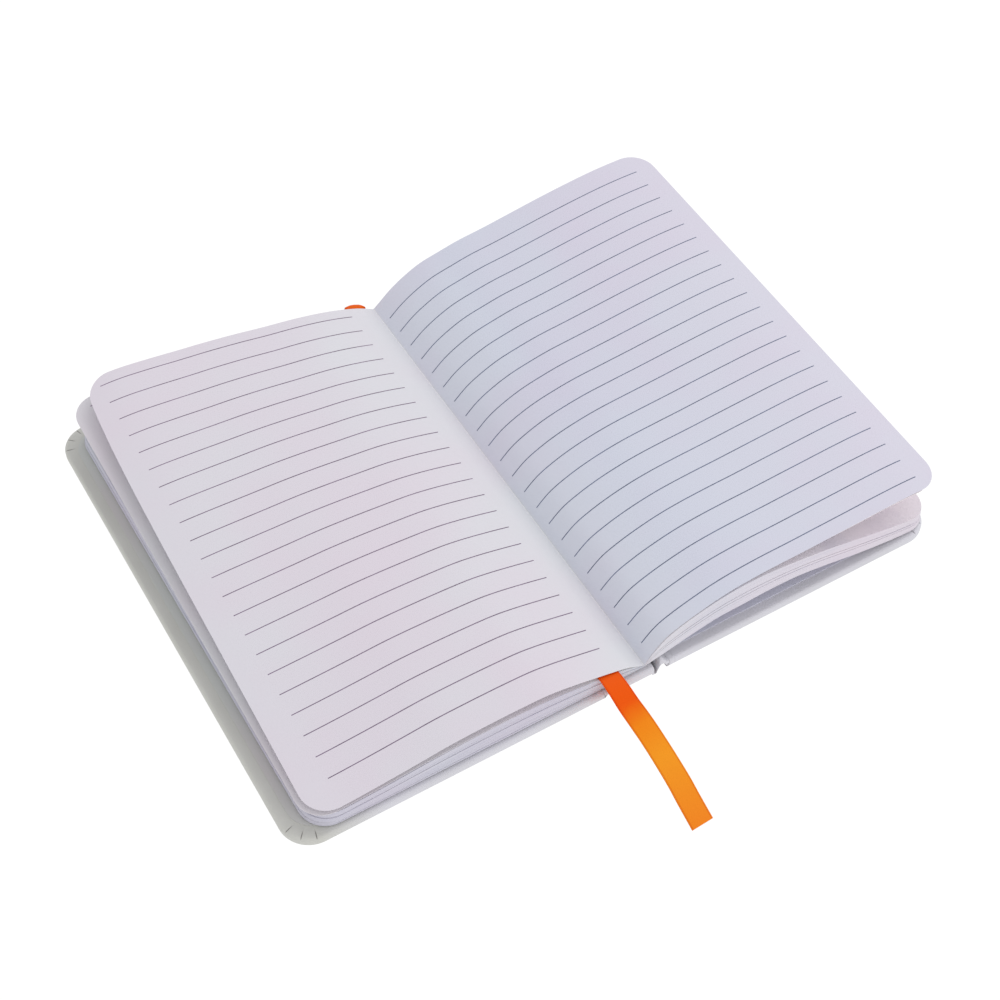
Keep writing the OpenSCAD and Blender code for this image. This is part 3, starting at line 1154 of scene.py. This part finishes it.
@dataclass
class Ribbon:
    """Flat satin ribbon, from its glued end over the head edge and under a leaf to its loose end.

    route is its middle line in millimetres, and its tilt in degrees. It lies up to 3 mm to the right
    of the CAD's ribbon, where the photograph shows it. bow is how far its middle stands out in the
    loop.
    """

    satin: Material
    width: float = 6.0
    thick: float = 0.25
    bow: float = 1.5
    bow_run: float = 2.2
    loop_point: int = 5
    cut_run: float = 1.2
    cut_depth: float = 1.5
    sides: int = 24
    route: tuple[tuple[float, float, float, float], ...] = (
        (-3.4, 60.25, 2.95, 0), (-3, 66.25, 2.95, 0), (-2.5, 69.75, 3, 0), (-2.3, 70.45, 3.6, -12),
        (-2.3, 70.65, 4.4, -22), (-2.5, 70.35, 5.3, -26), (-2.9, 69.6, 5.9, -26), (-4.5, 65.25, 6.9, -20),
        (-5.6, 60.25, 7.6, -17), (-5.9, 52.25, 7.7, -17), (-6, 38, 7.75, -17), (-6.1, 24, 7.8, -17),
        (-6.3, 10, 7.85, -16.5), (-6.5, -4, 7.9, -16), (-6.9, -18, 8, -15.5), (-7.3, -32, 8.1, -15),
        (-7.6, -46.25, 8.2, -14.5), (-7.9, -58.25, 8.25, -14), (-8.1, -66.25, 8.25, -14),
        (-8, -70.25, 8.15, -12), (-7.6, -73.75, 7, -9), (-7.1, -77.45, 5.1, -5), (-6.4, -81.05, 3.2, -1),
        (-5.9, -84.65, 1.6, 0), (-5.8, -88.55, 0.7, 0), (-6, -92.95, 0.3, 0), (-6.5, -98.45, 0.2, 0),
        (-7.2, -103.45, 0.2, 0), (-8.1, -110.5, 0.2, 0),
    )

    def line(self) -> tuple[Array, Array, float]:
        """Smooth the route.

        Returns:
            Points with their tilt, the distance run to each, and the distance run to the loop.
        """
        route = np.array(self.route, dtype=float)
        steps = np.concatenate([[0], np.cumsum(np.linalg.norm(np.diff(route[:, :3], axis=0), axis=1))])
        padded = np.vstack([2 * route[0] - route[1], route, 2 * route[-1] - route[-2]])
        last = len(route) - 2
        points, lengths = [], []
        for i in range(last + 1):
            p0, p1, p2, p3 = padded[i : i + 4]
            square, cube = 2 * p0 - 5 * p1 + 4 * p2 - p3, 3 * p1 - p0 - 3 * p2 + p3
            for q in np.linspace(0, 1, 6)[: None if i == last else -1]:
                points.append(0.5 * (2 * p1 + (p2 - p0) * q + square * q**2 + cube * q**3))
                lengths.append(steps[i] + (steps[i + 1] - steps[i]) * q)
        line = np.array(points)
        line[:, 2] = np.maximum(line[:, 2], self.thick / 2 + 0.02)
        return line, np.array(lengths), steps[self.loop_point]

    @staticmethod
    def axes(line: Array) -> tuple[Array, Array, Array]:
        """Directions of the ribbon at each point of its line.

        Args:
            line: Points with their tilt in degrees.

        Returns:
            Directions along the ribbon, across it and out of its face.
        """
        along = np.gradient(line[:, :3], axis=0)
        along /= np.linalg.norm(along, axis=1)[:, None]
        tilt = np.radians(line[:, 3])
        across = np.stack([np.cos(tilt), np.zeros_like(tilt), np.sin(tilt)], -1)
        across -= along * np.sum(across * along, axis=1)[:, None]
        across /= np.linalg.norm(across, axis=1)[:, None]
        return along, across, np.cross(across, along)

    def build(self) -> Object:
        """Returns:
            The piece.
        """
        line, run, loop = self.line()
        along, across, normal = self.axes(line)
        total = run[-1]
        turn = np.linspace(0, 2 * np.pi, self.sides, endpoint=False)
        wide = self.width / 2 * np.sign(np.cos(turn)) * np.abs(np.cos(turn)) ** 0.55
        high = self.thick / 2 * np.sign(np.sin(turn)) * np.abs(np.sin(turn)) ** 0.35
        crown = self.bow * np.exp(-(((run - loop) / self.bow_run) ** 2))
        crown = crown[:, None] * (1 - (2 * wide / self.width) ** 2)
        cut = np.clip((run - (total - self.cut_run)) / self.cut_run, 0, 1) * self.cut_depth
        slant = cut[:, None] * (-0.7 * wide / self.width - 0.1)
        grid = line[:, None, :3] + across[:, None] * wide[None, :, None]
        grid = grid + normal[:, None] * (high - crown)[..., None] + along[:, None] * slant[..., None]
        lengthwise, crosswise = np.broadcast_arrays((run / total)[:, None], wide / self.width + 0.5)
        uv = np.stack([lengthwise, crosswise], -1)
        mesh = Mesh()
        first = mesh.lay(np.concatenate([grid, grid[:, :1]], 1), uv=np.concatenate([uv, uv[:, :1]], 1))
        rows, columns = len(line), self.sides + 1
        mesh.grid(first, rows, columns, flip=True)
        mesh.faces.append(tuple(first + c for c in range(columns - 1)))
        mesh.faces.append(tuple(first + (rows - 1) * columns + c for c in range(columns - 2, -1, -1)))
        piece = mesh.object("ribbon_marker", self.satin)
        crease(piece, 60)
        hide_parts("ribbon")
        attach(piece, "book_block")
        return piece


# ---- stage


@dataclass(frozen=True)
class Lamp:
    """Square soft light that looks at the book, in metres and watts."""

    name: str
    at: Triple
    size: float
    power: float

    def build(self) -> None:
        """Add the light."""
        data = bpy.data.lights.new(self.name, "AREA")
        data.size, data.energy, data.color = self.size, self.power, (1.0, 0.985, 0.97)
        made = bpy.data.objects.new(self.name, data)
        turn = (-Vector(self.at)).to_track_quat("-Z", "Y").to_matrix().to_4x4()
        made.matrix_world = Matrix.Translation(self.at) @ turn
        bpy.context.scene.collection.objects.link(made)


@dataclass(frozen=True)
class Studio:
    """Camera, soft lights and a plain white ground.

    right, down and ahead are the picture's directions in the frame.
    """

    lens: float = 62.8604
    place: Triple = (-0.15193, -0.24575, 0.3616)
    right: Triple = (0.858486, -0.512425, 0.020525)
    down: Triple = (-0.391962, -0.681426, -0.618081)
    ahead: Triple = (0.330707, 0.522569, -0.785846)
    surround: float = 0.8
    lamps: tuple[Lamp, ...] = (
        Lamp("key", (0.6, 0.1, 0.7), 0.9, 2.4),
        Lamp("front", (0.1, -0.8, 0.45), 0.8, 1.3),
    )
    ground_half: float = 4000.0
    ground_z: float = -0.6

    def camera(self) -> None:
        """Set the camera where the photograph was taken from."""
        data = bpy.data.cameras.new("camera")
        data.lens, data.sensor_width, data.clip_start = self.lens, 36.0, 0.01
        made = bpy.data.objects.new("camera", data)
        turn = Matrix([self.right, [-v for v in self.down], [-v for v in self.ahead]]).transposed()
        made.matrix_world = Matrix.Translation(self.place) @ turn.to_4x4()
        bpy.context.scene.collection.objects.link(made)
        bpy.context.scene.camera = made

    def lights(self) -> None:
        """Light the book from the right and above, in an even white surround."""
        world = bpy.data.worlds.new("surround")
        world.use_nodes = True
        back = world.node_tree.nodes["Background"]
        back.inputs[0].default_value, back.inputs[1].default_value = (0.985, 0.985, 1.0, 1), self.surround
        bpy.context.scene.world = world
        for lamp in self.lamps:
            lamp.build()

    def ground(self) -> None:
        """Lay a plain white ground that lights the book from below and takes no shadow."""
        n = Nodes("white_ground")
        n.finish(
            Base_Color=(0, 0, 0, 1),
            Emission_Color=(1, 1, 1, 1),
            Emission_Strength=1.05,
            Roughness=1.0,
            Specular_IOR_Level=0.0,
        )
        mesh = Mesh()
        corners = ((-1, -1), (1, -1), (1, 1), (-1, 1))
        mesh.lay(np.array([(self.ground_half * x, self.ground_half * y, self.ground_z) for x, y in corners]))
        mesh.faces.append((0, 1, 2, 3))
        made = mesh.object("ground", n.material, smooth=False)
        made.visible_glossy = made.visible_shadow = made.visible_transmission = False
        made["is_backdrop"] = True

    def build(self) -> None:
        """Set up the whole stage."""
        self.camera()
        self.lights()
        self.ground()
        bpy.context.scene.view_settings.view_transform = "Standard"


def refinish(nodes: Sequence[str], material: Material) -> None:
    """Give CAD pieces that stay a better material.

    Args:
        nodes: Names of the pieces.
        material: Their new material.
    """
    for name in nodes:
        for slot in bpy.data.objects[name].material_slots:
            slot.material = material


def visual_box() -> list[list[float]]:
    """Box of what shows, apart from the stage.

    Returns:
        Its lowest and highest corner, in metres.
    """
    low, high = np.full(3, np.inf), np.full(3, -np.inf)
    for piece in bpy.data.objects:
        if piece.type != "MESH" or piece.name == "ground" or piece.hide_render:
            continue
        points = np.empty(len(piece.data.vertices) * 3)
        piece.data.vertices.foreach_get("co", points)
        points = points.reshape(-1, 3)
        low, high = np.minimum(low, points.min(0)), np.maximum(high, points.max(0))
    return [low.tolist(), high.tolist()]


def main() -> None:
    """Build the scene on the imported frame."""
    logging.basicConfig(level=logging.INFO, format="%(name)s: %(message)s")
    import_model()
    cad = [list(map(float, corner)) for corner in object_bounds()]
    Studio().build()
    Ribbon(Satin("ribbon_satin_look").build()).build()
    LeafBlock(
        # Painted light: the leaf paper gets a lighter pink tone on the left page and a darker blue one on the
        # right.
        paper=Paper("leaf_paper_look", (0.70, 0.672, 0.722), (0.625, 0.642, 0.735)).build(),
        # Painted light: a brighter copy of the leaf paper for the leaves under the top ones, where they lie
        # in shade.
        shaded=Paper("under_paper_look", (0.74, 0.72, 0.75), (0.90, 0.875, 0.875)).build(),
        # Painted light and shade: the leaf edges take their own copies of the leaf paper, darker on the left
        # than the left page, and their streaks darken them further.
        edges=Paper("leaf_edges_look", (0.6, 0.592, 0.658), (0.68, 0.665, 0.72), streaks=True).build(),
        # Painted light: one ink, tinted purple-grey on the left page and blue-grey on the right as each page
        # is lit.
        inks={
            Side.LEFT: Ink("left_ink_look", (0.15, 0.105, 0.165)).build(),
            Side.RIGHT: Ink("right_ink_look", (0.09, 0.11, 0.18)).build(),
        },
    ).build()
    # Painted shade: the wrap is greyer and warmer at the front cover's fore edge.
    wrap = Coated("cover_wrap_look", (0.58, 0.58, 0.545), (0.64, 0.635, 0.685)).build()
    Cover(Side.LEFT, "front_cover", "front_wrap", wrap).build()
    Cover(Side.RIGHT, "back_cover", "back_wrap", wrap).build()
    Spine(wrap).build()
    # Painted shade: the front and back endpapers are one paper, the front one greyer and the back one bluer.
    front_paper = Paper("front_endpaper_look", (0.57, 0.575, 0.55), (0.64, 0.64, 0.66)).build()
    back_paper = Paper("back_endpaper_look", (0.62, 0.65, 0.74), (0.64, 0.67, 0.76)).build()
    refinish(("front_pastedown", "spine_lining"), front_paper)
    refinish(("back_pastedown",), back_paper)
    refinish(("front_board", "back_board", "spine_strip"), Board("greyboard_look").build())
    {"cad": cad, "visual": visual_box()}


if __name__ == "__main__":
    main()
